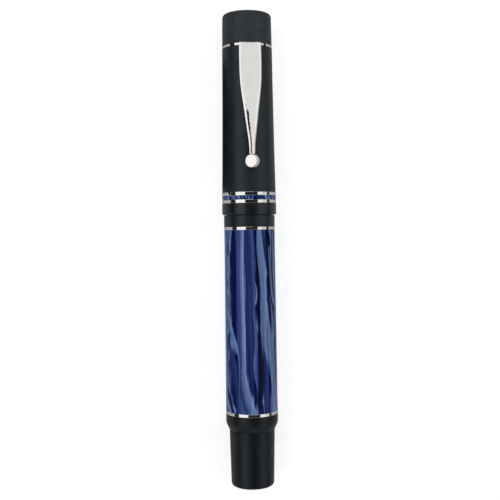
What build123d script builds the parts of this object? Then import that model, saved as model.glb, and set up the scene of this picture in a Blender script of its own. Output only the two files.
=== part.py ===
"""Screw-capped fountain pen with a captive piston filler, lying on its side, in millimetres.

The pen lies along +Y, with its crown at the +Y end and its filling knob at the -Y end, and
its clip faces +Z. Z = 0 is the surface that the cap's lip rests on, and the origin is under
the middle of the pen. Every turned piece is half an outline drawn on LATHE, where x is the
radius and y is the station along the pen, and is revolved about PEN_AXIS.
"""

from build123d import *
import os

os.makedirs("parts", exist_ok=True)

# --- Lengths along the pen, from the crown to the knob ------------------------------------------

CROWN_LENGTH = 9.5
CLIP_RING_THICKNESS = 0.6
CAP_TUBE_LENGTH = 40.66
BAND_WIDTH = 1.0
INLAY_WIDTH = 1.14
LIP_LENGTH = 3.2
COLLAR_LENGTH = 3.4
UPPER_RING_WIDTH = 0.92
BARREL_LENGTH = 51.7
LOWER_RING_WIDTH = 0.88
SHOULDER_LENGTH = 4.7
KNOB_LENGTH = 16.2

# --- Outer radii ----------------------------------------------------------------------------------

CROWN_TOP_RADIUS = 6.93
CROWN_BASE_RADIUS = 7.04
CAP_TOP_RADIUS = 7.08
CAP_MIDDLE_RADIUS = 7.30
CAP_BASE_RADIUS = 7.64
BAND_RADIUS = 7.69
INLAY_RADIUS = 7.67
LIP_RADIUS = 7.72
COLLAR_RADIUS = 7.24
BARREL_TOP_RADIUS = 7.20
BARREL_BASE_RADIUS = 7.42
LOWER_RING_RADIUS = 7.46
SHOULDER_RADIUS = 7.46
SHOULDER_END_RADIUS = 6.48
KNOB_TOP_RADIUS = 6.49
KNOB_END_RADIUS = 6.14

# --- Fits -----------------------------------------------------------------------------------------

RUNNING = 0.05  # radial clearance between pieces that turn or slide in each other
END_PLAY = 0.1  # the same pieces' clearance along the pen
SEAT_GAP = 0.3  # open gap between the cap's lip and the barrel's collar, with the cap on
SEAT_RADIUS = 7.15  # the collar's step, which closes the gap's inner side
EDGE = 0.12  # broken edge of a turned piece

# --- Cap: inner cap, crown's stud and cap thread ------------------------------------------------

STUD_RADIUS = 3.0
STUD_END = 53.2
INNER_CAP_RADIUS = 6.0
INNER_CAP_BORE = 5.55
INNER_CAP_MOUTH = 20.0
INNER_CAP_END = 52.4
INNER_CAP_END_THICKNESS = 1.0
INNER_CAP_ROUND = 0.5

THREAD_STARTS = 3
THREAD_FOOT = 1.1
THREAD_TIP = 0.4
THREAD_LEAD = 3.6
THREAD_LENGTH = 4.2
THREAD_START = 1.5  # from the lip's end to the thread
THREAD_ROOT = 6.10  # the collar's nose, between its ridges
THREAD_CREST = 6.36  # over the ridges
THREAD_BORE = 6.42  # the cap's bore, between its grooves
THREAD_GROOVE = 6.68  # the bottom of the grooves
CAP_TENON_RADIUS = 7.10  # the cap tube inside its bands and lip
LIP_SHELF = 0.5  # thickness of the lip under the cap tube's end
LIP_BORE = 6.5

# --- Barrel, section and nib ----------------------------------------------------------------------

NOSE_END = 17.0
NOSE_BEVEL = 0.2
COLLAR_TENON_RADIUS = 6.2
COLLAR_TENON_END = -2.3
RESERVOIR_RADIUS = 5.4
SECTION_TENON_RADIUS = 5.0
SECTION_TENON_END = 8.6
SECTION_END = 30.4
INK_PASSAGE_RADIUS = 4.2
HOUSING_RADIUS = 3.6
HOUSING_REAR = 12.5
NIB_RADIUS = 3.11
NIB_HEEL = 16.0
NIB_SHOULDER = 36.5
NIB_TIP = 50.2
BREATHER_STATION = 38.8
FEED_RADIUS = 2.78
FEED_TIP = 44.6

# --- Piston filler --------------------------------------------------------------------------------

PISTON_STROKE = 22.0
PISTON_TURNS = 4
PISTON_LEAD = PISTON_STROKE / PISTON_TURNS
PISTON_STARTS = 2
ROD_THREAD_START = 0.9
ROD_THREAD_LENGTH = 28.0
ROD_THREAD_FOOT = 1.4
ROD_THREAD_TIP = 0.7
NUT_THREAD_FOOT = 1.5
NUT_THREAD_TIP = 0.8
FILLER_TENON_RADIUS = 6.0
FILLER_TENON_TOP = -35.2
FILLER_COUNTERBORE = 4.8
GUIDE_LENGTH = 3.4
FLANGE_RADIUS = 4.6
FLANGE_THICKNESS = 1.4
SLEEVE_RADIUS = 3.8
SLEEVE_END = -58.5
NUT_BORE = 2.46
NUT_GROOVE = 2.80
NUT_THREAD_LENGTH = 4.2
SLEEVE_BORE = 2.6
ROD_ROOT = 2.05
ROD_CREST = 2.40
ROD_FLAT = 1.60  # half the distance across the rod's two flats
ROD_END = -65.0
NECK_RADIUS = 1.55
NECK_LENGTH = 2.4
HEAD_REAR = -34.9
HEAD_LENGTH = 6.0
HEAD_RADIUS = 5.22
KNOB_BORE_END = -65.3
SEAL_THICKNESS = 0.84
SEAL_GROOVE_LENGTH = 1.1

# --- Stations worked out from the lengths ---------------------------------------------------------

CAP_LENGTH = (
    CROWN_LENGTH + CLIP_RING_THICKNESS + CAP_TUBE_LENGTH + 2 * BAND_WIDTH + INLAY_WIDTH + LIP_LENGTH
)
FRONT_LENGTH = COLLAR_LENGTH + UPPER_RING_WIDTH + BARREL_LENGTH
REAR_LENGTH = LOWER_RING_WIDTH + SHOULDER_LENGTH + KNOB_LENGTH

crown_top = (CAP_LENGTH + FRONT_LENGTH + REAR_LENGTH) / 2
crown_base = crown_top - CROWN_LENGTH
cap_top = crown_base - CLIP_RING_THICKNESS
upper_band_top = cap_top - CAP_TUBE_LENGTH
inlay_top = upper_band_top - BAND_WIDTH
lower_band_top = inlay_top - INLAY_WIDTH
lip_top = lower_band_top - BAND_WIDTH
lip_end = lip_top - LIP_LENGTH
upper_ring_top = lip_end - COLLAR_LENGTH
barrel_top = upper_ring_top - UPPER_RING_WIDTH
lower_ring_top = barrel_top - BARREL_LENGTH
shoulder_top = lower_ring_top - LOWER_RING_WIDTH
shoulder_end = shoulder_top - SHOULDER_LENGTH
knob_top = shoulder_end - END_PLAY
knob_end = -crown_top
cap_tube_end = lip_end + LIP_SHELF
guide_rear = FILLER_TENON_TOP - GUIDE_LENGTH
flange_front = guide_rear - END_PLAY
flange_rear = flange_front - FLANGE_THICKNESS
head_front = HEAD_REAR + HEAD_LENGTH
thread_base = lip_end + THREAD_START

# --- Planes and the pen's axis --------------------------------------------------------------------

AXIS_HEIGHT = LIP_RADIUS
PEN_AXIS = Axis((0, 0, AXIS_HEIGHT), (0, 1, 0))
LATHE = Plane.XY.offset(AXIS_HEIGHT)  # x is across the pen, y is the station
SIDE = Plane(origin=(0, 0, AXIS_HEIGHT), x_dir=(0, 1, 0), z_dir=(1, 0, 0))  # x is the station


def across(station):
    """The plane square to the pen at a station, with its x along +X and its y along +Z."""
    return Plane(origin=(0, station, AXIS_HEIGHT), x_dir=(1, 0, 0), z_dir=(0, -1, 0))


def turned(*outline):
    """A solid of revolution about the pen's axis, from a closed outline of straight lines."""
    with BuildPart() as solid:
        with BuildSketch(LATHE):
            with BuildLine():
                Polyline(*outline, close=True)
            make_face()
        revolve(axis=PEN_AXIS)
    return solid.part


def seal_ring(centre_radius, station):
    """A round-section rubber ring about the pen's axis."""
    with BuildPart() as ring:
        with BuildSketch(LATHE):
            with Locations((centre_radius, station)):
                Circle(SEAL_THICKNESS / 2)
        revolve(axis=PEN_AXIS)
    return ring.part


def seal_groove(centre_radius, station):
    """The square groove that a round-section ring lies in."""
    with BuildPart() as groove:
        with BuildSketch(LATHE):
            with Locations((centre_radius, station)):
                Rectangle(SEAL_THICKNESS, SEAL_GROOVE_LENGTH)
        revolve(axis=PEN_AXIS)
    return groove.part


def ridges(starts, lead, length, base, radius, depth, foot, tip):
    """The ridges of a right-handed thread, one for each start, as tapered bars on helices.

    radius is the surface that they stand on, and they reach depth to each side of it. foot
    and tip are a ridge's widths at its inner and its outer edge.
    """
    with BuildPart() as ridge:
        with BuildLine() as path:
            Helix(lead, length, radius, center=(0, base, AXIS_HEIGHT), direction=(0, 1, 0))
        start = path.line @ 0
        outward = start - Vector(0, start.Y, AXIS_HEIGHT)
        with BuildSketch(Plane(origin=start, x_dir=outward, z_dir=path.line % 0)):
            with BuildLine():
                Polyline(
                    (-depth, -foot / 2),
                    (depth, -tip / 2),
                    (depth, tip / 2),
                    (-depth, foot / 2),
                    close=True,
                )
            make_face()
        sweep(path=path.line, is_frenet=True)
    return [ridge.part.rotate(PEN_AXIS, 360 / starts * number) for number in range(starts)]


# --- Cap: crown and clip ring ---------------------------------------------------------------------

CROWN_DOME = 0.45
CROWN_EDGE = 1.0

with BuildPart() as cap_crown:
    with BuildSketch(LATHE):
        with BuildLine():
            ThreePointArc(
                (0, crown_top),
                (CROWN_TOP_RADIUS / 2, crown_top - CROWN_DOME / 4),
                (CROWN_TOP_RADIUS, crown_top - CROWN_DOME),
            )
            Polyline(
                (CROWN_TOP_RADIUS, crown_top - CROWN_DOME),
                (CROWN_BASE_RADIUS, crown_base + EDGE),
                (CROWN_BASE_RADIUS - EDGE, crown_base),
                (STUD_RADIUS, crown_base),
                (STUD_RADIUS, STUD_END),
                (0, STUD_END),
                (0, crown_top),
            )
        make_face()
    revolve(axis=PEN_AXIS)
    rim = cap_crown.edges().filter_by(Plane.XZ).sort_by(Axis.Y)[-1]
    fillet(rim, CROWN_EDGE)
cap_crown.part.label = "cap_crown"

TONGUE_WIDTH = 5.0
TONGUE_REACH = 7.34

with BuildPart() as clip_ring:
    with BuildSketch(across(cap_top)):
        Circle(CAP_TOP_RADIUS)
        with Locations((0, TONGUE_REACH / 2)):
            Rectangle(TONGUE_WIDTH, TONGUE_REACH)
        Circle(STUD_RADIUS, mode=Mode.SUBTRACT)
    extrude(amount=-CLIP_RING_THICKNESS)
clip_ring.part.label = "clip_ring"

# --- Cap: clip ------------------------------------------------------------------------------------

BALL_RADIUS = 2.1
BALL_FACE_LATITUDE = 36.5  # where the ball's flat face cuts it, up from its equator
BALL_FACE_EDGE = 0.3
BALL_FACE_TILT = (4, -16, 0)  # the face looks a little to the clip's left
BALL_STATION = 25.0
BALL_HEIGHT = 9.71
BLADE_SET_BACK = 0.2  # from the crown's base to the blade's root end
BLADE_FOOT = 0.4  # height of the blade's straight sides, under its rounded top
BLADE_END_ROUND = 0.35  # radius of the round that takes off the corner at the blade's root
BLADE_END_INSET = 0.3  # of the round's centre from the blade's end and from its top

# The blade's sections, evenly spaced from its root to its ball: half the width, and the heights
# over the pen's axis of the flat inner face and of the middle of the rounded top.
BLADE_SECTIONS = [
    (3.06, 7.42, 8.25),
    (3.10, 7.54, 8.37),
    (3.10, 7.70, 8.53),
    (2.98, 7.88, 8.73),
    (2.66, 8.07, 8.97),
    (2.23, 8.24, 9.22),
    (1.80, 8.49, 9.41),
    (1.37, 8.69, 9.59),
    (0.98, 8.88, 9.78),
    (0.78, 9.08, 9.98),
]
blade_top = crown_base - BLADE_SET_BACK
blade_end = BALL_STATION + BALL_RADIUS / 2
section_pitch = (blade_top - blade_end) / (len(BLADE_SECTIONS) - 1)

ball_plane = Plane(Location((0, BALL_STATION, AXIS_HEIGHT + BALL_HEIGHT), BALL_FACE_TILT))

with BuildPart(ball_plane) as clip_ball:
    Sphere(BALL_RADIUS, arc_size2=BALL_FACE_LATITUDE)
    fillet(clip_ball.faces().filter_by(GeomType.PLANE).edges(), BALL_FACE_EDGE)
clip_ball.part.label = "clip_ball"

with BuildPart() as clip_blade:
    for number, (half_width, inner, middle) in enumerate(BLADE_SECTIONS):
        side_top = inner + BLADE_FOOT
        with BuildSketch(across(blade_top - number * section_pitch)):
            with BuildLine():
                Polyline(
                    (half_width, side_top),
                    (half_width, inner),
                    (-half_width, inner),
                    (-half_width, side_top),
                )
                EllipticalCenterArc((0, side_top), half_width, middle - side_top, arc_size=180)
            make_face()
    loft()
    with BuildSketch(SIDE):
        with Locations((blade_top - BLADE_END_INSET, BLADE_SECTIONS[0][2] - BLADE_END_INSET)):
            Rectangle(2 * BLADE_END_ROUND, 2 * BLADE_END_ROUND, align=Align.MIN)
            Circle(BLADE_END_ROUND, mode=Mode.SUBTRACT)
    extrude(amount=CAP_TOP_RADIUS, both=True, mode=Mode.SUBTRACT)
    add(clip_ball.part, mode=Mode.SUBTRACT)
clip_blade.part.label = "clip_blade"

# --- Cap: tube, inner cap, bands and lip ----------------------------------------------------------

BORE_STEP = 0.4  # length of the cone between the cap's two bores
inner_cap_seat = INNER_CAP_RADIUS + RUNNING

with BuildPart() as cap_tube:
    with BuildSketch(LATHE):
        with BuildLine():
            ThreePointArc(
                (CAP_TOP_RADIUS, cap_top - EDGE),
                (CAP_MIDDLE_RADIUS, (cap_top + upper_band_top) / 2),
                (CAP_BASE_RADIUS, upper_band_top),
            )
            Polyline(
                (CAP_BASE_RADIUS, upper_band_top),
                (CAP_TENON_RADIUS, upper_band_top),
                (CAP_TENON_RADIUS, cap_tube_end),
                (THREAD_BORE, cap_tube_end),
                (THREAD_BORE, NOSE_END + BORE_STEP / 2),
                (inner_cap_seat, NOSE_END + BORE_STEP + BORE_STEP / 2),
                (inner_cap_seat, INNER_CAP_END + END_PLAY),
                (STUD_RADIUS, INNER_CAP_END + END_PLAY),
                (STUD_RADIUS, cap_top),
                (CAP_TOP_RADIUS - EDGE, cap_top),
                (CAP_TOP_RADIUS, cap_top - EDGE),
            )
        make_face()
    revolve(axis=PEN_AXIS)
    groove_depth = THREAD_GROOVE - THREAD_BORE
    grooves = ridges(
        THREAD_STARTS,
        THREAD_LEAD,
        THREAD_LENGTH,
        thread_base,
        THREAD_BORE,
        groove_depth,
        THREAD_FOOT,
        THREAD_TIP,
    )
    add(grooves, mode=Mode.SUBTRACT)
cap_tube.part.label = "cap_tube"

inner_cap_wall_end = INNER_CAP_END - INNER_CAP_END_THICKNESS

with BuildPart() as inner_cap:
    with BuildSketch(LATHE):
        with BuildLine():
            Polyline(
                (INNER_CAP_RADIUS, INNER_CAP_MOUTH),
                (INNER_CAP_RADIUS, INNER_CAP_END),
                (0, INNER_CAP_END),
                (0, inner_cap_wall_end),
                (INNER_CAP_BORE, inner_cap_wall_end),
                (INNER_CAP_BORE, INNER_CAP_MOUTH),
                close=True,
            )
        make_face()
    revolve(axis=PEN_AXIS)
    chamfer(inner_cap.edges().filter_by(GeomType.CIRCLE).group_by(Axis.Y)[0], EDGE)
    fillet(inner_cap.edges().filter_by(GeomType.CIRCLE).sort_by(Axis.Y)[-1], INNER_CAP_ROUND)
inner_cap.part.label = "inner_cap"

METAL_EDGE = 0.1
INLAY_EDGE = 0.04

# Each ring is its top station, width, bore, outer radius and the rounding of its outer edges.
RINGS = {
    "cap_band_upper": (upper_band_top, BAND_WIDTH, CAP_TENON_RADIUS, BAND_RADIUS, METAL_EDGE),
    "cap_band_inlay": (inlay_top, INLAY_WIDTH, CAP_TENON_RADIUS, INLAY_RADIUS, INLAY_EDGE),
    "cap_band_lower": (lower_band_top, BAND_WIDTH, CAP_TENON_RADIUS, BAND_RADIUS, METAL_EDGE),
    "barrel_ring_upper": (
        upper_ring_top,
        UPPER_RING_WIDTH,
        COLLAR_TENON_RADIUS,
        COLLAR_RADIUS,
        METAL_EDGE,
    ),
    "barrel_ring_lower": (
        lower_ring_top,
        LOWER_RING_WIDTH,
        FILLER_TENON_RADIUS,
        LOWER_RING_RADIUS,
        METAL_EDGE,
    ),
}
for name, (top, width, bore, radius, edge) in RINGS.items():
    with BuildPart() as ring:
        with BuildSketch(LATHE):
            with Locations(((bore + radius) / 2, top - width / 2)):
                Rectangle(radius - bore, width)
        revolve(axis=PEN_AXIS)
        fillet(ring.edges().filter_by(GeomType.CIRCLE).sort_by(SortBy.RADIUS)[-2:], edge)
    ring.part.label = name
    export_step(ring.part, f"parts/{name}.step")

LIP_EDGE = 0.3

with BuildPart() as cap_lip:
    add(
        turned(
            (LIP_RADIUS - EDGE / 2, lip_top),
            (LIP_RADIUS, lip_top - EDGE / 2),
            (LIP_RADIUS, lip_end),
            (LIP_BORE + EDGE, lip_end),
            (LIP_BORE, lip_end + EDGE),
            (LIP_BORE, cap_tube_end),
            (CAP_TENON_RADIUS, cap_tube_end),
            (CAP_TENON_RADIUS, lip_top),
        )
    )
    mouth = cap_lip.edges().filter_by(GeomType.CIRCLE).group_by(Axis.Y)[0]
    fillet(mouth.sort_by(SortBy.RADIUS)[-1], LIP_EDGE)
cap_lip.part.label = "cap_lip"

# --- Barrel ---------------------------------------------------------------------------------------

collar_face = lip_end - SEAT_GAP
seat_face = lip_end - END_PLAY

with BuildPart() as barrel_collar:
    add(
        turned(
            (COLLAR_TENON_RADIUS, COLLAR_TENON_END),
            (COLLAR_TENON_RADIUS, upper_ring_top),
            (COLLAR_RADIUS, upper_ring_top),
            (COLLAR_RADIUS, collar_face - EDGE / 2),
            (COLLAR_RADIUS - EDGE / 2, collar_face),
            (SEAT_RADIUS, collar_face),
            (SEAT_RADIUS, seat_face),
            (THREAD_ROOT, seat_face),
            (THREAD_ROOT, NOSE_END - NOSE_BEVEL),
            (THREAD_ROOT - NOSE_BEVEL, NOSE_END),
            (SECTION_TENON_RADIUS, NOSE_END),
            (SECTION_TENON_RADIUS, SECTION_TENON_END),
            (INK_PASSAGE_RADIUS, SECTION_TENON_END),
            (INK_PASSAGE_RADIUS, COLLAR_TENON_END),
        )
    )
    ridge_height = THREAD_CREST - THREAD_ROOT
    add(
        ridges(
            THREAD_STARTS,
            THREAD_LEAD,
            THREAD_LENGTH,
            thread_base,
            THREAD_ROOT,
            ridge_height,
            THREAD_FOOT,
            THREAD_TIP,
        )
    )
barrel_collar.part.label = "barrel_collar"

with BuildPart() as barrel_tube:
    add(
        turned(
            (BARREL_TOP_RADIUS, barrel_top),
            (BARREL_BASE_RADIUS, lower_ring_top),
            (FILLER_TENON_RADIUS, lower_ring_top),
            (FILLER_TENON_RADIUS, FILLER_TENON_TOP),
            (RESERVOIR_RADIUS, FILLER_TENON_TOP),
            (RESERVOIR_RADIUS, COLLAR_TENON_END),
            (COLLAR_TENON_RADIUS, COLLAR_TENON_END),
            (COLLAR_TENON_RADIUS, barrel_top),
        )
    )
barrel_tube.part.label = "barrel_tube"

SHOULDER_BEVEL = 2.1  # length of the shoulder's cone
SHOULDER_ROUND = 3.0
counterbore_end = flange_rear - END_PLAY
KNOB_SEAL_STATION = -46.5
knob_seal_radius = SLEEVE_RADIUS + RUNNING + SEAL_THICKNESS / 2

with BuildPart() as barrel_end:
    add(
        turned(
            (SHOULDER_RADIUS, shoulder_top),
            (SHOULDER_RADIUS, shoulder_end + SHOULDER_BEVEL),
            (SHOULDER_END_RADIUS, shoulder_end),
            (SLEEVE_RADIUS + RUNNING, shoulder_end),
            (SLEEVE_RADIUS + RUNNING, counterbore_end),
            (FILLER_COUNTERBORE, counterbore_end),
            (FILLER_COUNTERBORE, FILLER_TENON_TOP),
            (FILLER_TENON_RADIUS, FILLER_TENON_TOP),
            (FILLER_TENON_RADIUS, shoulder_top),
        )
    )
    widest = barrel_end.edges().filter_by(GeomType.CIRCLE).group_by(SortBy.RADIUS)[-1]
    fillet(widest.sort_by(Axis.Y)[0], SHOULDER_ROUND)
    add(seal_groove(knob_seal_radius, KNOB_SEAL_STATION), mode=Mode.SUBTRACT)
barrel_end.part.label = "barrel_end"

# --- Section, nib and feed ------------------------------------------------------------------------

GRIP_RADIUS = 5.80
GRIP_WAIST = 5.02
GRIP_FLARE = 5.30
GRIP_MOUTH = 4.4
WAIST_STATION = 24.6
FEED_BORE = 2.2
GRIP_ROUND = 1.2  # length of the rounding at the section's mouth
flare_station = SECTION_END - GRIP_ROUND
SECTION_SEAL_STATION = 10.2
section_seal_radius = SECTION_TENON_RADIUS - SEAL_THICKNESS / 2

with BuildPart() as section:
    with BuildSketch(LATHE):
        with BuildLine():
            ThreePointArc(
                (GRIP_RADIUS, NOSE_END + EDGE),
                (GRIP_WAIST, WAIST_STATION),
                (GRIP_FLARE, flare_station),
            )
            TangentArc(
                (GRIP_FLARE, flare_station),
                (GRIP_MOUTH, SECTION_END),
                tangent=(0, 1),
            )
            Polyline(
                (GRIP_MOUTH, SECTION_END),
                (HOUSING_RADIUS, SECTION_END),
                (HOUSING_RADIUS, HOUSING_REAR),
                (FEED_BORE, HOUSING_REAR),
                (FEED_BORE, SECTION_TENON_END),
                (SECTION_TENON_RADIUS, SECTION_TENON_END),
                (SECTION_TENON_RADIUS, NOSE_END),
                (GRIP_RADIUS - EDGE, NOSE_END),
                (GRIP_RADIUS, NOSE_END + EDGE),
            )
        make_face()
    revolve(axis=PEN_AXIS)
    add(seal_groove(section_seal_radius, SECTION_SEAL_STATION), mode=Mode.SUBTRACT)
section.part.label = "section"

HOUSING_INSET = 0.8  # from the section's mouth back to the housing's front
housing_front = SECTION_END - HOUSING_INSET

with BuildPart() as nib_housing:
    add(
        turned(
            (HOUSING_RADIUS, HOUSING_REAR),
            (HOUSING_RADIUS, housing_front),
            (NIB_RADIUS, housing_front),
            (NIB_RADIUS, HOUSING_REAR),
        )
    )
nib_housing.part.label = "nib_housing"

NIB_BEND = 34.0  # where the nib starts to slope down to its point
NIB_TIP_RADIUS = 2.36
NIB_THICKNESS = 0.32
NIB_WRAP = 1.0  # how far the nib's sides reach below the pen's axis
POINT_RADIUS = 0.5
POINT_HEIGHT = 2.2
SLIT_WIDTH = 0.07
BREATHER_RADIUS = 0.55
NIB_WING = 2.95  # half the nib's width at its shoulder, laid flat from above
NIB_FLANK = (1.40, 43.6)  # a point on the curve from the shoulder to the point
NIB_SIDE = 3.2  # clear of the nib's sides, behind its shoulder
TINE_TIP = 0.42  # half the width of the two tines at the point
nib_inside = NIB_RADIUS - NIB_THICKNESS
tip_inside = NIB_TIP_RADIUS - NIB_THICKNESS

with BuildPart() as nib:
    with BuildSketch(LATHE):
        with BuildLine():
            Line((NIB_RADIUS, NIB_HEEL), (NIB_RADIUS, NIB_BEND))
            TangentArc((NIB_RADIUS, NIB_BEND), (NIB_TIP_RADIUS, NIB_TIP), tangent=(0, 1))
            Line((NIB_TIP_RADIUS, NIB_TIP), (tip_inside, NIB_TIP))
            TangentArc((nib_inside, NIB_BEND), (tip_inside, NIB_TIP), tangent=(0, 1))
            Line((nib_inside, NIB_BEND), (nib_inside, NIB_HEEL))
            Line((nib_inside, NIB_HEEL), (NIB_RADIUS, NIB_HEEL))
        make_face()
    revolve(axis=PEN_AXIS)
    with BuildSketch(LATHE.offset(-NIB_WRAP)):
        with BuildLine():
            Line((0, NIB_HEEL), (NIB_SIDE, NIB_HEEL))
            Line((NIB_SIDE, NIB_HEEL), (NIB_SIDE, NIB_BEND))
            Line((NIB_SIDE, NIB_BEND), (NIB_WING, NIB_SHOULDER))
            ThreePointArc((NIB_WING, NIB_SHOULDER), NIB_FLANK, (TINE_TIP, NIB_TIP))
            Line((TINE_TIP, NIB_TIP), (0, NIB_TIP))
            mirror(about=Plane.YZ)
        make_face()
    extrude(amount=2 * NIB_RADIUS, mode=Mode.INTERSECT)
    with BuildSketch(LATHE):
        with Locations((0, BREATHER_STATION)):
            Circle(BREATHER_RADIUS)
        with Locations((0, (BREATHER_STATION + NIB_TIP) / 2)):
            Rectangle(SLIT_WIDTH, NIB_TIP - BREATHER_STATION)
    extrude(amount=2 * NIB_RADIUS, mode=Mode.SUBTRACT)
    with Locations((0, NIB_TIP, AXIS_HEIGHT + POINT_HEIGHT)):
        Sphere(POINT_RADIUS, mode=Mode.SUBTRACT)
nib.part.label = "nib"

with BuildPart() as nib_point:
    with Locations(Location((0, NIB_TIP, AXIS_HEIGHT + POINT_HEIGHT), (0, 90, 0))):
        Sphere(POINT_RADIUS)
        Cylinder(2 * POINT_RADIUS, SLIT_WIDTH, mode=Mode.SUBTRACT)
nib_point.part.label = "nib_point"

FIN_COUNT = 9
FIN_PITCH = 0.95
FIN_SLOT = 0.4
FIRST_FIN = 31.6
FEED_TIP_RADIUS = 2.40
FIN_MIDDLE = -2.3  # height of the slots' middle, from the pen's axis
FIN_DEPTH = 2.6
FEED_TAIL_RADIUS = 2.15
FEED_CUT_START = 40.5  # where the feed's underside starts to slope up to its tip
FEED_CUT_LOW = -2.9
FEED_CUT_HIGH = 1.9
FEED_CUT_CLEAR = -4.0
FEED_CUT_END = 45.6
INK_CHANNEL_WIDTH = 0.5
INK_CHANNEL_FLOOR = 1.7
FEED_TAIL_GAP = 0.4
feed_tail_end = SECTION_TENON_END + FEED_TAIL_GAP

with BuildPart() as feed:
    with BuildSketch(LATHE):
        with BuildLine():
            Polyline(
                (FEED_RADIUS, NIB_BEND),
                (FEED_RADIUS, HOUSING_REAR),
                (FEED_TAIL_RADIUS, HOUSING_REAR),
                (FEED_TAIL_RADIUS, feed_tail_end),
                (0, feed_tail_end),
                (0, FEED_TIP),
                (FEED_TIP_RADIUS, FEED_TIP),
            )
            TangentArc((FEED_RADIUS, NIB_BEND), (FEED_TIP_RADIUS, FEED_TIP), tangent=(0, 1))
        make_face()
    revolve(axis=PEN_AXIS)
    with BuildSketch(SIDE):
        with BuildLine():
            Polyline(
                (FEED_CUT_START, FEED_CUT_CLEAR),
                (FEED_CUT_START, FEED_CUT_LOW),
                (FEED_CUT_END, FEED_CUT_HIGH),
                (FEED_CUT_END, FEED_CUT_CLEAR),
                close=True,
            )
        make_face()
        for number in range(FIN_COUNT):
            with Locations((FIRST_FIN + number * FIN_PITCH, FIN_MIDDLE)):
                Rectangle(FIN_SLOT, FIN_DEPTH)
    extrude(amount=2 * FEED_RADIUS, both=True, mode=Mode.SUBTRACT)
    with BuildSketch(LATHE.offset(INK_CHANNEL_FLOOR)):
        with Locations((0, (SECTION_TENON_END + FEED_TIP) / 2)):
            Rectangle(INK_CHANNEL_WIDTH, 1.1 * (FEED_TIP - SECTION_TENON_END))
    extrude(amount=FEED_RADIUS, mode=Mode.SUBTRACT)
feed.part.label = "feed"

# --- Piston filler --------------------------------------------------------------------------------

with BuildPart() as piston_guide:
    with BuildSketch(across(FILLER_TENON_TOP)):
        Circle(FILLER_COUNTERBORE)
        with BuildSketch(mode=Mode.PRIVATE) as keyhole:
            Circle(ROD_CREST + RUNNING)
            Rectangle(3 * ROD_CREST, 2 * (ROD_FLAT + RUNNING), mode=Mode.INTERSECT)
        add(keyhole.sketch, mode=Mode.SUBTRACT)
    extrude(amount=GUIDE_LENGTH)
piston_guide.part.label = "piston_guide"

NUT_RUN_OUT = 1.0  # how far the nut's grooves run past both ends of its thread
nut_thread_end = flange_front - NUT_THREAD_LENGTH

with BuildPart() as drive_nut:
    add(
        turned(
            (NUT_BORE, flange_front),
            (FLANGE_RADIUS, flange_front),
            (FLANGE_RADIUS, flange_rear),
            (SLEEVE_RADIUS, flange_rear),
            (SLEEVE_RADIUS, SLEEVE_END),
            (SLEEVE_BORE, SLEEVE_END),
            (SLEEVE_BORE, nut_thread_end),
            (NUT_BORE, nut_thread_end),
        )
    )
    nut_depth = NUT_GROOVE - NUT_BORE
    grooves = ridges(
        PISTON_STARTS,
        PISTON_LEAD,
        NUT_THREAD_LENGTH + 2 * NUT_RUN_OUT,
        nut_thread_end - NUT_RUN_OUT,
        NUT_BORE,
        nut_depth,
        NUT_THREAD_FOOT,
        NUT_THREAD_TIP,
    )
    add(grooves, mode=Mode.SUBTRACT)
drive_nut.part.label = "drive_nut"

ROD_BEVEL = 0.3

with BuildPart() as piston_rod:
    add(
        turned(
            (0, ROD_END),
            (ROD_ROOT - ROD_BEVEL, ROD_END),
            (ROD_ROOT, ROD_END + ROD_BEVEL),
            (ROD_ROOT, HEAD_REAR),
            (NECK_RADIUS, HEAD_REAR),
            (NECK_RADIUS, HEAD_REAR + NECK_LENGTH),
            (0, HEAD_REAR + NECK_LENGTH),
        )
    )
    rod_depth = ROD_CREST - ROD_ROOT
    add(
        ridges(
            PISTON_STARTS,
            PISTON_LEAD,
            ROD_THREAD_LENGTH,
            ROD_END + ROD_THREAD_START,
            ROD_ROOT,
            rod_depth,
            ROD_THREAD_FOOT,
            ROD_THREAD_TIP,
        )
    )
    with BuildSketch(across(ROD_END)):
        Rectangle(3 * ROD_CREST, 2 * ROD_FLAT)
    extrude(amount=-2 * PISTON_STROKE, mode=Mode.INTERSECT)
piston_rod.part.label = "piston_rod"

HEAD_BEVEL = 0.5
HEAD_CONE = 0.35
PISTON_SEAL_INSET = 1.4
piston_seal_radius = RESERVOIR_RADIUS - RUNNING - SEAL_THICKNESS / 2
piston_seal_stations = (HEAD_REAR + PISTON_SEAL_INSET, head_front - PISTON_SEAL_INSET)

with BuildPart() as piston_head:
    add(
        turned(
            (NECK_RADIUS, HEAD_REAR),
            (HEAD_RADIUS, HEAD_REAR),
            (HEAD_RADIUS, head_front - HEAD_BEVEL),
            (HEAD_RADIUS - HEAD_BEVEL, head_front),
            (0, head_front + HEAD_CONE),
            (0, HEAD_REAR + NECK_LENGTH),
            (NECK_RADIUS, HEAD_REAR + NECK_LENGTH),
        )
    )
    for station in piston_seal_stations:
        add(seal_groove(piston_seal_radius, station), mode=Mode.SUBTRACT)
piston_head.part.label = "piston_head"

WASHER_RADIUS = 5.4
WASHER_THICKNESS = 0.5
KNOB_END_ROUND = 1.0
washer_rear = knob_top - WASHER_THICKNESS

with BuildPart() as knob_washer:
    add(
        turned(
            (SLEEVE_RADIUS, knob_top),
            (WASHER_RADIUS, knob_top),
            (WASHER_RADIUS, washer_rear),
            (SLEEVE_RADIUS, washer_rear),
        )
    )
knob_washer.part.label = "knob_washer"

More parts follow.
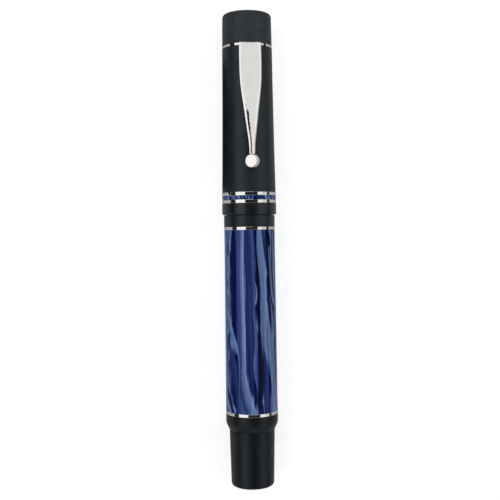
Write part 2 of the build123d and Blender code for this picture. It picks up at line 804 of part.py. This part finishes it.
with BuildPart() as filler_knob:
    add(
        turned(
            (WASHER_RADIUS, knob_top),
            (KNOB_TOP_RADIUS - EDGE / 2, knob_top),
            (KNOB_TOP_RADIUS, knob_top - EDGE / 2),
            (KNOB_END_RADIUS, knob_end),
            (0, knob_end),
            (0, KNOB_BORE_END),
            (SLEEVE_BORE, KNOB_BORE_END),
            (SLEEVE_BORE, SLEEVE_END),
            (SLEEVE_RADIUS, SLEEVE_END),
            (SLEEVE_RADIUS, washer_rear),
            (WASHER_RADIUS, washer_rear),
        )
    )
    fillet(filler_knob.edges().filter_by(GeomType.CIRCLE).sort_by(Axis.Y)[0], KNOB_END_ROUND)
filler_knob.part.label = "filler_knob"

# Each seal is the radius of its centre line and its station.
SEALS = {
    "section_seal": (section_seal_radius, SECTION_SEAL_STATION),
    "knob_seal": (knob_seal_radius, KNOB_SEAL_STATION),
    "piston_seal_rear": (piston_seal_radius, piston_seal_stations[0]),
    "piston_seal_front": (piston_seal_radius, piston_seal_stations[1]),
}
for name, (centre_radius, station) in SEALS.items():
    seal = seal_ring(centre_radius, station)
    seal.label = name
    export_step(seal, f"parts/{name}.step")

PIECES = [
    cap_crown,
    clip_ring,
    clip_blade,
    clip_ball,
    cap_tube,
    inner_cap,
    cap_lip,
    barrel_collar,
    barrel_tube,
    barrel_end,
    section,
    nib_housing,
    nib,
    nib_point,
    feed,
    piston_guide,
    drive_nut,
    piston_rod,
    piston_head,
    knob_washer,
    filler_knob,
]
for piece in PIECES:
    export_step(piece.part, f"parts/{piece.part.label}.step")
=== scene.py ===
"""Fountain pen: the materials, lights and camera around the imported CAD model, in metres."""

import math

import bpy
from mathutils import Matrix, Vector


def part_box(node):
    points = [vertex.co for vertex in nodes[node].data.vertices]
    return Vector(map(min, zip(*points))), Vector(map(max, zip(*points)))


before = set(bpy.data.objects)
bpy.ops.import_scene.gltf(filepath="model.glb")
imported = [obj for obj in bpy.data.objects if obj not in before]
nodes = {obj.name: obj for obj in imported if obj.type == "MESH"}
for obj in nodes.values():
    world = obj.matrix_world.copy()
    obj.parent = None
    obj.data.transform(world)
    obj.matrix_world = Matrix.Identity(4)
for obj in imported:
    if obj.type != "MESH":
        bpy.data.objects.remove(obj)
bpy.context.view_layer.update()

barrel_low, barrel_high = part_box("barrel_tube")
AXIS_HEIGHT = (barrel_low.z + barrel_high.z) / 2
MM = 0.001


# --- Node trees -----------------------------------------------------------------------------------


class Surface:
    """One material with a Principled shader, and short calls for the nodes that feed it."""

    def __init__(self, name, **sockets):
        self.material = bpy.data.materials.new(name)
        self.material.use_nodes = True
        self.tree = self.material.node_tree
        self.shader = self.tree.nodes["Principled BSDF"]
        for socket, value in sockets.items():
            self.shader.inputs[socket.replace("_", " ")].default_value = value

    def node(self, kind, inputs=None, **settings):
        """A new node with its settings, and its inputs linked or set by name or number."""
        made = self.tree.nodes.new(kind)
        for key, value in settings.items():
            setattr(made, key, value)
        for key, value in (inputs or {}).items():
            self.put(made.inputs[key], value)
        return made

    def put(self, socket, value):
        """Links an output to a socket, or sets the socket to a plain value."""
        if isinstance(value, bpy.types.NodeSocket):
            self.tree.links.new(value, socket)
        else:
            socket.default_value = value

    def math(self, operation, *values, clamp=False):
        """One step of arithmetic on values or outputs."""
        return self.node(
            "ShaderNodeMath", dict(enumerate(values)), operation=operation, use_clamp=clamp
        ).outputs[0]

    def place(self, scale=(1, 1, 1), shift=(0, 0, 0)):
        """The point on the object in millimetres, measured from the pen's axis, then scaled."""
        point = self.node("ShaderNodeTexCoord").outputs["Object"]
        from_axis = self.node(
            "ShaderNodeVectorMath", {0: point, 1: (0, 0, AXIS_HEIGHT)}, operation="SUBTRACT"
        ).outputs[0]
        millimetres = tuple(s / MM for s in scale)
        return self.node(
            "ShaderNodeMapping", {"Vector": from_axis, "Location": shift, "Scale": millimetres}
        ).outputs[0]

    def noise(self, vector, scale=1.0, detail=2.0, roughness=0.5, distortion=0.0):
        """A noise texture, whose first output is its value and whose second is its colour."""
        return self.node(
            "ShaderNodeTexNoise",
            {
                "Vector": vector,
                "Scale": scale,
                "Detail": detail,
                "Roughness": roughness,
                "Distortion": distortion,
            },
        )

    def ramp(self, factor, stops, interpolation="LINEAR"):
        """A colour ramp through (position, colour) stops."""
        made = self.node("ShaderNodeValToRGB", {"Fac": factor})
        ramp = made.color_ramp
        ramp.interpolation = interpolation
        while len(ramp.elements) < len(stops):
            ramp.elements.new(1.0)
        for element, (position, colour) in zip(ramp.elements, stops):
            element.position = position
            element.color = (*colour, 1.0)
        return made.outputs["Color"]

    def spread(self, value, low, high):
        """A 0 to 1 value mapped to low to high."""
        return self.node(
            "ShaderNodeMapRange", {"Value": value, "To Min": low, "To Max": high}
        ).outputs[0]

    def blend(self, factor, first, second):
        """Two colours mixed by a factor."""
        made = self.node("ShaderNodeMix", data_type="RGBA")
        self.put(made.inputs["Factor"], factor)
        self.put(made.inputs[6], first)
        self.put(made.inputs[7], second)
        return made.outputs[2]

    def colour(self, value):
        self.put(self.shader.inputs["Base Color"], value)

    def roughness(self, value):
        self.put(self.shader.inputs["Roughness"], value)

    def bump(self, height, distance):
        """Relief from a 0 to 1 height that stands for a distance in millimetres."""
        made = self.node("ShaderNodeBump", {"Height": height, "Distance": distance * MM})
        self.put(self.shader.inputs["Normal"], made.outputs[0])


def srgb(red, green, blue):
    """A display colour, 0 to 255, as the linear colour that the shader takes."""

    def linear(channel):
        c = channel / 255
        return c / 12.92 if c <= 0.04045 else ((c + 0.055) / 1.055) ** 2.4

    return linear(red), linear(green), linear(blue)


# --- Materials ------------------------------------------------------------------------------------


def hard_rubber(name, own, rough, marks, gloss=0.5):
    """Black hard rubber: a hazy satin with fine turning marks round the pen and a faint bloom.

    own is its colour under the gloss, and marks is how deep the turning marks are.
    """
    s = Surface(name, IOR=1.55, Specular_IOR_Level=gloss, Specular_Tint=(0.76, 0.91, 1.0, 1.0))
    bloom = s.noise(s.place(), 0.35, 4.0, 0.6).outputs[0]
    grain = s.noise(s.place(), 9.0, 3.0, 0.7).outputs[0]
    turning = s.noise(s.place((0.02, 7.0, 0.02)), 1.0, 3.0, 0.75).outputs[0]
    dark = tuple(0.75 * c for c in own)
    light = tuple(1.3 * c for c in own)
    s.colour(s.ramp(bloom, [(0.3, dark), (0.7, light)]))
    haze = s.math("ADD", s.math("MULTIPLY", bloom, 0.5), s.math("MULTIPLY", grain, 0.5))
    s.roughness(s.spread(haze, rough - 0.07, rough + 0.07))
    s.bump(s.math("ADD", s.math("MULTIPLY", turning, marks), s.math("MULTIPLY", grain, 0.3)), 0.004)
    return s.material


# The resin's main ribbons, in the order that they lie over each other. Each has a tone for its left
# and its right edge and the points that it runs through: the station from the upper ring (0) to the
# lower ring (1), the angle round the barrel from its top towards +X, and half the ribbon's width,
# both in degrees. A width of 0 is a tip.
RIBBONS = [
    ("royal", "violet", [(0.0, -28, 14), (0.4, -28, 14), (0.8, -26, 12), (1.0, -20, 12)]),
    ("navy", "royal", [(0.0, -8, 9), (0.4, -9, 9), (0.7, -10, 8), (0.86, -3, 6), (0.96, 10, 0)]),
    ("ink", "navy", [(0.0, -43, 5), (0.15, -47, 9), (0.4, -47, 8), (0.52, -46, 7), (0.6, -38, 0)]),
    (
        "violet",
        "bright",
        [
            (0.0, -21, 3),
            (0.1, -23, 5),
            (0.24, -28, 4),
            (0.5, -24, 5),
            (0.7, -22, 4),
            (0.78, -20, 0),
        ],
    ),
    (
        "ink",
        "royal",
        [
            (0.0, -13, 2),
            (0.12, -16, 3),
            (0.3, -14, 2),
            (0.5, -15, 3),
            (0.8, -16, 2),
            (0.86, -15, 0),
        ],
    ),
    (
        "steel",
        "light",
        [(0.34, -84, 5), (0.44, -72, 6), (0.52, -58, 6), (0.6, -44, 6), (0.68, -35, 0)],
    ),
    ("royal", "steel", [(0.0, -78, 8), (0.2, -72, 8), (0.34, -74, 5), (0.42, -84, 0)]),
    (
        "navy",
        "royal",
        [(0.6, -62, 0), (0.68, -54, 9), (0.8, -46, 7), (0.9, -40, 4), (1.0, -38, 4)],
    ),
    ("steel", "royal", [(0.66, -78, 8), (0.76, -70, 9), (0.84, -63, 6), (0.9, -58, 0)]),
    ("ink", "navy", [(0.84, -76, 0), (0.9, -66, 8), (0.95, -58, 6), (1.0, -52, 3)]),
    ("light", "steel", [(0.9, -80, 4), (0.96, -66, 5), (1.0, -60, 5)]),
    (
        "steel",
        "light",
        [(0.7, -26, 0), (0.78, -24, 7), (0.88, -15, 7), (0.96, -6, 7), (1.0, -1, 7)],
    ),
    ("navy", "royal", [(0.8, -33, 0), (0.86, -31, 4), (0.93, -24, 3), (1.0, -16, 2)]),
    ("navy", "ink", [(0.78, -2, 0), (0.86, 2, 5), (0.93, 10, 9), (0.98, 16, 6), (1.0, 18, 3)]),
    (
        "violet",
        "royal",
        [
            (0.0, 1, 3),
            (0.2, 0, 3),
            (0.36, 1, 2),
            (0.5, 3, 3),
            (0.62, 6, 4),
            (0.78, 6, 4),
            (0.88, 6, 0),
        ],
    ),
    (
        "steel",
        "light",
        [
            (0.0, 16, 5),
            (0.1, 19, 7),
            (0.25, 24, 8),
            (0.4, 25, 8),
            (0.6, 26, 9),
            (0.7, 27, 6),
            (0.78, 30, 0),
        ],
    ),
    (
        "ink",
        "ink",
        [
            (0.0, 8, 2),
            (0.15, 7, 2),
            (0.27, 11, 5),
            (0.4, 12, 3),
            (0.65, 13, 4),
            (0.76, 17, 7),
            (0.9, 16, 5),
            (0.97, 17, 0),
        ],
    ),
    ("navy", "royal", [(0.64, 22, 0), (0.72, 25, 6), (0.84, 30, 8), (0.92, 28, 6), (1.0, 28, 5)]),
    ("light", "steel", [(0.6, 40, 4), (0.72, 46, 7), (0.82, 50, 8), (0.9, 54, 8), (1.0, 58, 9)]),
    (
        "navy",
        "ink",
        [(0.0, 36, 3), (0.1, 33, 3), (0.22, 37, 3), (0.36, 38, 4), (0.5, 44, 3), (0.56, 50, 0)],
    ),
    ("ink", "navy", [(0.0, 52, 15), (0.2, 52, 15), (0.32, 53, 14), (0.42, 58, 8), (0.46, 61, 0)]),
    (
        "steel",
        "light",
        [(0.0, 49, 7), (0.2, 52, 12), (0.32, 54, 10), (0.39, 57, 5), (0.42, 60, 0)],
    ),
    ("ink", "navy", [(0.08, 54, 3), (0.2, 55, 8), (0.3, 57, 6), (0.36, 58, 3), (0.38, 59, 0)]),
    ("steel", "light", [(0.12, 57, 2), (0.2, 58, 4), (0.29, 59, 3), (0.33, 60, 0)]),
    ("ink", "ink", [(0.0, 36, 0), (0.03, 40, 6), (0.07, 43, 6), (0.1, 45, 0)]),
]
DAYLIGHT = 0.45  # how much of a matt surface's own colour the studio shows


def tone(red, green, blue):
    """The own colour of a matt surface that shows as a display colour in the studio."""
    return tuple(channel / DAYLIGHT for channel in srgb(red, green, blue))


TONES = {
    "ink": tone(2, 8, 40),
    "navy": tone(14, 24, 72),
    "royal": tone(40, 56, 112),
    "violet": tone(70, 84, 138),
    "steel": tone(78, 100, 138),
    "light": tone(104, 126, 170),
    "bright": tone(120, 140, 188),
}
RIBBON_TURN = 180.0  # the angle that a whole ramp value stands for
RIBBON_EDGE = 2.6  # degrees over which a ribbon's edge fades
RIPPLE_ANGLE = 5.0  # degrees that a ribbon strays to each side of its line
RIPPLE_STATION = 0.03  # how far it strays along the barrel
STREAK_SHADES = (0.3, 1.7)  # how much the darkest and the lightest streaks scale the colour


def ribbon(s, along, across, points, edge=RIBBON_EDGE):
    """How much of a ribbon covers each point, and where that point is across it, both 0 to 1."""
    stops = [
        (at, (middle / RIBBON_TURN + 0.5, half / RIBBON_TURN, 0.0)) for at, middle, half in points
    ]
    path = s.ramp(along, stops, "B_SPLINE")
    parts = s.node("ShaderNodeSeparateColor", {"Color": path}).outputs
    middle = s.math("MULTIPLY", s.math("SUBTRACT", parts[0], 0.5), RIBBON_TURN)
    half = s.math("MULTIPLY", parts[1], RIBBON_TURN)
    off = s.math("SUBTRACT", across, middle)
    beyond = s.math("SUBTRACT", s.math("ABSOLUTE", off), half)
    cover = s.node(
        "ShaderNodeMapRange",
        {"Value": beyond, "From Min": edge / 2, "From Max": -edge / 2},
        interpolation_type="SMOOTHSTEP",
    ).outputs[0]
    place = s.math("ADD", s.math("DIVIDE", off, s.math("MULTIPLY", half, 2.0)), 0.5, clamp=True)
    return cover, place


def marbled_resin(name, veins, swirl, ribbons):
    """Polished resin with folded bands of navy, royal, violet and steel blue along the pen.

    veins is the number of bands round the pen, swirl is how tightly they fold, from 1 up, and the
    ribbons lie over them.
    """
    s = Surface(name, IOR=1.5, Roughness=0.12, Specular_IOR_Level=0.08)
    parts = s.node("ShaderNodeSeparateXYZ", {"Vector": s.place()}).outputs
    turn = s.math("MULTIPLY", s.math("ARCTAN2", parts[0], parts[2]), math.degrees(1.0))
    drift = s.noise(s.place((0.13, 0.034, 0.13)), swirl, 1.5, 0.45, 0.6).outputs[0]
    wave = s.noise(s.place((0.33, 0.07, 0.33), (9.0, 0.0, 0.0)), swirl, 2.0, 0.5).outputs[0]
    phase = s.math("ADD", s.math("MULTIPLY", turn, veins / 360), s.spread(drift, -3.0, 3.0))
    phase = s.math("FRACT", s.math("ADD", phase, s.spread(wave, -0.8, 0.8)))
    colour = s.ramp(
        phase,
        [
            (0.0, TONES["ink"]),
            (0.1, TONES["navy"]),
            (0.36, TONES["royal"]),
            (0.62, TONES["steel"]),
            (0.8, TONES["light"]),
            (0.88, TONES["violet"]),
            (0.95, TONES["navy"]),
            (1.0, TONES["ink"]),
        ],
    )
    ripple = s.noise(s.place((0.16, 0.07, 0.16), (4.0, 0.0, 0.0)), 1.0, 2.0, 0.4)
    ripples = s.node("ShaderNodeSeparateColor", {"Color": ripple.outputs[1]}).outputs
    angle = s.math("ADD", turn, s.spread(ripples[0], -RIPPLE_ANGLE, RIPPLE_ANGLE))
    top = barrel_high.y / MM
    length = (barrel_high.y - barrel_low.y) / MM
    station = s.math("DIVIDE", s.math("SUBTRACT", top, parts[1]), length)
    station = s.math("ADD", station, s.spread(ripples[1], -RIPPLE_STATION, RIPPLE_STATION))
    for left, right, points in ribbons:
        cover, place = ribbon(s, station, angle, points)
        colour = s.blend(cover, colour, s.blend(place, (*TONES[left], 1.0), (*TONES[right], 1.0)))
    streak = s.noise(s.place((1.6, 0.06, 1.6)), 1.0, 3.0, 0.6, 0.4).outputs[0]
    shade = s.spread(streak, *STREAK_SHADES)
    s.colour(s.node("ShaderNodeVectorMath", {0: colour, 3: shade}, operation="SCALE").outputs[0])
    return s.material


def silver(name, scratch_scale, rough, dull=0.80):
    """Polished silver, slightly warm, with hairline scratches and a little tarnish."""
    s = Surface(name, Metallic=1.0)
    hairlines = s.noise(s.place(scratch_scale), 1.0, 4.0, 0.7).outputs[0]
    smudge = s.noise(s.place(), 0.5, 3.0).outputs[0]
    tarnished = (dull, 0.975 * dull, 0.94 * dull)
    s.colour(s.ramp(smudge, [(0.25, tarnished), (0.75, (0.90, 0.885, 0.86))]))
    s.roughness(s.spread(s.math("MULTIPLY", hairlines, smudge), rough, rough + 0.08))
    s.bump(hairlines, 0.0010)
    return s.material


# The line engraved round the nib: the station from its heel (0) to its point (1), the distance from
# its middle in millimetres, and half the line's width.
NIB_LINE = [
    (0.52, 2.6, 0.08),
    (0.6, 2.3, 0.08),
    (0.7, 1.6, 0.07),
    (0.8, 0.95, 0.06),
    (0.92, 0.45, 0.03),
]
LINE_EDGE = 0.05  # millimetres over which the line's edge fades


def engraved_nib():
    """Polished white metal, with a dark line engraved a little inside the nib's edge."""
    s = Surface("nib_metal", Metallic=1.0)
    low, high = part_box("nib")
    parts = s.node("ShaderNodeSeparateXYZ", {"Vector": s.place()}).outputs
    along = s.math("SUBTRACT", parts[1], low.y / MM)
    along = s.math("DIVIDE", along, (high.y - low.y) / MM)
    line = ribbon(s, along, s.math("ABSOLUTE", parts[0]), NIB_LINE, LINE_EDGE)[0]
    line = s.math("MULTIPLY", line, s.math("GREATER_THAN", along, NIB_LINE[0][0]))
    brushed = s.noise(s.place((6.0, 0.3, 6.0)), 1.0, 4.0, 0.7).outputs[0]
    metal = s.ramp(brushed, [(0.3, (0.80, 0.78, 0.74)), (0.7, (0.88, 0.86, 0.83))])
    s.colour(s.blend(line, metal, (0.10, 0.09, 0.08, 1.0)))
    s.roughness(s.math("ADD", s.spread(brushed, 0.06, 0.16), s.math("MULTIPLY", line, 0.25)))
    s.bump(s.math("SUBTRACT", s.math("MULTIPLY", brushed, 0.05), line), 0.03)
    return s.material


def turned_brass():
    """Bright brass with the fine rings that a lathe leaves."""
    s = Surface("turned_brass", Metallic=1.0)
    rings = s.noise(s.place((0.05, 12.0, 0.05)), 1.0, 3.0, 0.8).outputs[0]
    stain = s.noise(s.place(), 0.6, 4.0, 0.6).outputs[0]
    s.colour(s.ramp(stain, [(0.3, (0.56, 0.38, 0.14)), (0.7, (0.80, 0.60, 0.27))]))
    s.roughness(s.spread(s.math("MULTIPLY", rings, stain), 0.16, 0.42))
    s.bump(rings, 0.006)
    return s.material


def moulding(name, own, rough, grain_scale=6.0, depth=0.004):
    """A plain moulded part, with a fine grain and faint flow lines along it."""
    s = Surface(name)
    grain = s.noise(s.place(), grain_scale, 3.0).outputs[0]
    flow = s.noise(s.place((0.8, 0.15, 0.8)), 1.0, 3.0, 0.6, 0.5).outputs[0]
    s.colour(s.ramp(flow, [(0.3, tuple(0.86 * c for c in own)), (0.7, own)]))
    s.roughness(s.spread(grain, rough - 0.05, rough + 0.08))
    s.bump(grain, depth)
    return s.material


def paint(material, *names):
    """Puts one material on CAD nodes."""
    for name in names:
        slots = nodes[name].data.materials
        slots.clear()
        slots.append(material)


paint(hard_rubber("crown_rubber", (0.030, 0.032, 0.036), 0.52, 0.4, 0.45), "cap_crown")
paint(hard_rubber("cap_rubber", (0.014, 0.017, 0.020), 0.42, 0.5, 0.42), "cap_tube")
paint(hard_rubber("lip_rubber", (0.0070, 0.0075, 0.0090), 0.29, 1.0), "cap_lip")
paint(hard_rubber("collar_rubber", (0.0085, 0.0090, 0.0105), 0.38, 0.8, 0.45), "barrel_collar")
paint(
    hard_rubber("knob_rubber", (0.0090, 0.0095, 0.0115), 0.38, 0.7, 0.28),
    "barrel_end",
    "filler_knob",
)
paint(hard_rubber("grip_rubber", (0.0050, 0.0052, 0.0060), 0.18, 0.6), "section")
paint(hard_rubber("feed_rubber", (0.0120, 0.0120, 0.0125), 0.55, 0.9), "feed")
paint(silver("trim_silver", (0.6, 6.0, 0.6), 0.04), "clip_ring", "cap_band_upper", "cap_band_lower")
paint(silver("ring_silver", (0.6, 6.0, 0.6), 0.04), "barrel_ring_upper", "barrel_ring_lower")
paint(silver("clip_silver", (5.0, 0.3, 5.0), 0.02, 0.85), "clip_blade", "clip_ball")
paint(engraved_nib(), "nib")
paint(silver("point_metal", (3.0, 3.0, 3.0), 0.12, 0.62), "nib_point")
paint(marbled_resin("marbled_resin", 9, 1.0, RIBBONS), "barrel_tube")
paint(marbled_resin("inlay_resin", 9, 3.0, []), "cap_band_inlay")
paint(
    moulding("white_moulding", (0.75, 0.75, 0.73), 0.4),
    "piston_guide",
    "piston_head",
    "knob_washer",
)
paint(moulding("rod_moulding", (0.62, 0.63, 0.62), 0.35), "piston_rod")
paint(moulding("inner_cap_moulding", (0.020, 0.020, 0.022), 0.45), "inner_cap")
paint(moulding("housing_moulding", (0.012, 0.012, 0.013), 0.3, 10.0), "nib_housing")
paint(turned_brass(), "drive_nut")
paint(
    moulding("seal_rubber", (0.012, 0.012, 0.012), 0.6, 14.0, 0.008),
    "section_seal",
    "knob_seal",
    "piston_seal_rear",
    "piston_seal_front",
)

# --- Floor, lights and camera ---------------------------------------------------------------------

CAMERA_DISTANCE = 0.247  # from the pen's axis
CAMERA_ROUND = math.radians(6.3)  # how far the camera stands round the pen, to the clip's left
CAMERA_STATION = 0.00712  # the point along the pen that the camera is level with
CAMERA_PITCH = math.radians(1.595)  # aim, towards the knob
CAMERA_YAW = 0.0003  # aim, to the right
CAMERA_ROLL = math.radians(0.80)
CAMERA_LENS = 62.06
SENSOR_WIDTH = 36
LIGHT_DISTANCE = 0.7
SOFTBOX_LENGTH = 1.0
PANEL_WIDTH = 2.0
PANEL_RISE = (8, 50)  # the angles up from the floor that the end panels fill
WORLD_FILL = 0.018  # the backdrop's strength as a light and in reflections
WORLD_SEEN = 1.0  # its strength to the camera
FLOOR_REACH = 3.0
FLOOR_DROP = 0.00002  # from the pen's lowest line to the floor
FLOOR_LIFT = 0.72  # how much brighter the floor is to the camera than its light makes it
FLOOR_GLOW = 0.08  # how much brighter it is in reflections
# A black sheet that only reflections see paints shade into the reflections on the cap's left side.
SHADE_SHEET_ACROSS = (-0.3, -0.0105)  # the painted reflection shade's far edge and its edge beside the pen
SHADE_SHEET_ALONG = (0.0182, 0.056)  # its ends, beside the cap's upper band and its clip ring
SHADE_SHEET_RISE = 0.00001


def add_camera():
    """The camera looks down on the pen, with the crown at the top of the picture."""
    forward = Vector((math.sin(CAMERA_ROUND), 0, -math.cos(CAMERA_ROUND)))
    foot = Vector((0, CAMERA_STATION, AXIS_HEIGHT))
    place = foot - CAMERA_DISTANCE * forward
    up = Vector((0, 1, 0))
    right = forward.cross(up)
    aim = forward * math.cos(CAMERA_PITCH) - up * math.sin(CAMERA_PITCH) + right * CAMERA_YAW
    aim.normalize()
    right = aim.cross(up).normalized()
    up = right.cross(aim)
    up = up * math.cos(CAMERA_ROLL) + right * math.sin(CAMERA_ROLL)
    right = aim.cross(up)
    data = bpy.data.cameras.new("camera")
    data.lens = CAMERA_LENS
    data.sensor_width = SENSOR_WIDTH
    data.clip_start = 0.01
    camera = bpy.data.objects.new("camera", data)
    turn = Matrix((right, up, -aim)).transposed().to_4x4()
    camera.matrix_world = Matrix.Translation(place) @ turn
    bpy.context.scene.collection.objects.link(camera)
    bpy.context.scene.camera = camera


def add_light(name, place, away, width, length, radiance, along=Vector((0, 1, 0))):
    """A rectangular light at a place, facing back along away, with its length lying along."""
    data = bpy.data.lights.new(name, "AREA")
    data.shape = "RECTANGLE"
    data.size = width
    data.size_y = length
    data.energy = radiance * math.pi * width * length
    light = bpy.data.objects.new(name, data)
    turn = Matrix((along.cross(away), along, away)).transposed().to_4x4()
    light.matrix_world = Matrix.Translation(place) @ turn
    light.visible_camera = False
    bpy.context.scene.collection.objects.link(light)
    return light


def add_softbox(name, low, high, radiance):
    """A side light that fills the angles low to high, in degrees from overhead towards +X."""
    middle = math.radians((low + high) / 2)
    away = Vector((math.sin(middle), 0, math.cos(middle)))
    width = 2 * LIGHT_DISTANCE * math.tan(math.radians((high - low) / 2))
    add_light(name, away * LIGHT_DISTANCE, away, width, SOFTBOX_LENGTH, radiance)


def add_overhead(name, low, high, start, end, radiance):
    """A level light that fills the angles low to high across the pen and start to end along it."""
    left, right, near, far = (
        LIGHT_DISTANCE * math.tan(math.radians(angle)) for angle in (low, high, start, end)
    )
    place = Vector(((left + right) / 2, (near + far) / 2, LIGHT_DISTANCE))
    add_light(name, place, Vector((0, 0, 1)), right - left, far - near, radiance)


def add_end_panel(name, end, radiance):
    """A light past the crown (end 1) or past the knob (end -1), which only gloss sees."""
    low, high = PANEL_RISE
    middle = math.radians((low + high) / 2)
    away = Vector((0, end * math.cos(middle), math.sin(middle)))
    height = 2 * LIGHT_DISTANCE * math.tan(math.radians((high - low) / 2))
    across = Vector((1, 0, 0))
    panel = add_light(name, away * LIGHT_DISTANCE, away, height, PANEL_WIDTH, radiance, across)
    panel.visible_diffuse = False


def level_sheet(name, left, right, near, far, height, material):
    """A flat sheet at a height, between two places across the pen and two along it."""
    mesh = bpy.data.meshes.new(name)
    corners = [(left, near, 0), (right, near, 0), (right, far, 0), (left, far, 0)]
    mesh.from_pydata(corners, [], [(0, 1, 2, 3)])
    mesh.materials.append(material)
    sheet = bpy.data.objects.new(name, mesh)
    sheet.location.z = height
    bpy.context.scene.collection.objects.link(sheet)
    return sheet


def add_floor():
    """A wide pale floor just under the pen."""
    s = Surface("floor_paper", Roughness=0.9)
    fibre = s.noise(s.place((0.2, 0.2, 0.2)), 1.0, 3.0).outputs[0]
    s.colour(s.ramp(fibre, [(0.2, (0.88, 0.88, 0.88)), (0.8, (0.91, 0.91, 0.91))]))
    rays = s.node("ShaderNodeLightPath").outputs
    lift = s.math("MULTIPLY", rays["Is Camera Ray"], FLOOR_LIFT)
    glow = s.math("MULTIPLY", rays["Is Glossy Ray"], FLOOR_GLOW)
    s.put(s.shader.inputs["Emission Color"], (1, 1, 1, 1))
    s.put(s.shader.inputs["Emission Strength"], s.math("ADD", lift, glow))
    reach = FLOOR_REACH
    floor = level_sheet("floor", -reach, reach, -reach, reach, -FLOOR_DROP, s.material)


def add_painted_reflection_shade():
    """A black sheet on the floor left of the cap, seen only in reflections: painted shade in the
    cap's left side.
    """
    s = Surface("painted_reflection_shade", Roughness=1.0, Specular_IOR_Level=0.0)
    s.colour((0.0, 0.0, 0.0, 1.0))
    shade_sheet = level_sheet("shade_sheet", *SHADE_SHEET_ACROSS, *SHADE_SHEET_ALONG, SHADE_SHEET_RISE, s.material)
    shade_sheet.visible_camera = False
    shade_sheet.visible_diffuse = False
    shade_sheet.visible_shadow = False


def add_world():
    """A white backdrop to the camera, and only a faint fill to everything else."""
    world = bpy.data.worlds.new("studio")
    bpy.context.scene.world = world
    world.use_nodes = True
    tree = world.node_tree
    backdrop = tree.nodes["Background"]
    backdrop.inputs["Color"].default_value = (1, 1, 1, 1)
    seen = tree.nodes.new("ShaderNodeLightPath").outputs["Is Camera Ray"]
    strength = tree.nodes.new("ShaderNodeMapRange")
    strength.inputs["To Min"].default_value = WORLD_FILL
    strength.inputs["To Max"].default_value = WORLD_SEEN
    tree.links.new(seen, strength.inputs["Value"])
    tree.links.new(strength.outputs[0], backdrop.inputs["Strength"])


add_camera()
add_floor()
# Painted shade: a black sheet seen only in reflections darkens the cap's left side.
add_painted_reflection_shade()
# The lights' angles across the pen are degrees from overhead towards +X. The overhead lights' other
# two angles are degrees from overhead towards the crown.
add_softbox("left_softbox", -64.7, -22.7, 1.05)
add_softbox("right_softbox_inner", 30.3, 52.0, 0.92)
add_softbox("right_softbox_outer", 52.0, 75.3, 0.66)
add_overhead("head_softbox", -6.0, 30.3, 14.2, 45, 0.79)
add_overhead("head_foot", 1.0, 30.3, 10.5, 14.2, 0.79)
add_overhead("head_edge", -22.7, -6.0, 16.0, 45, 0.79)
add_end_panel("crown_panel", 1, 0.6)
add_end_panel("knob_panel", -1, 0.6)
add_world()
bpy.context.scene.view_settings.view_transform = "Standard"
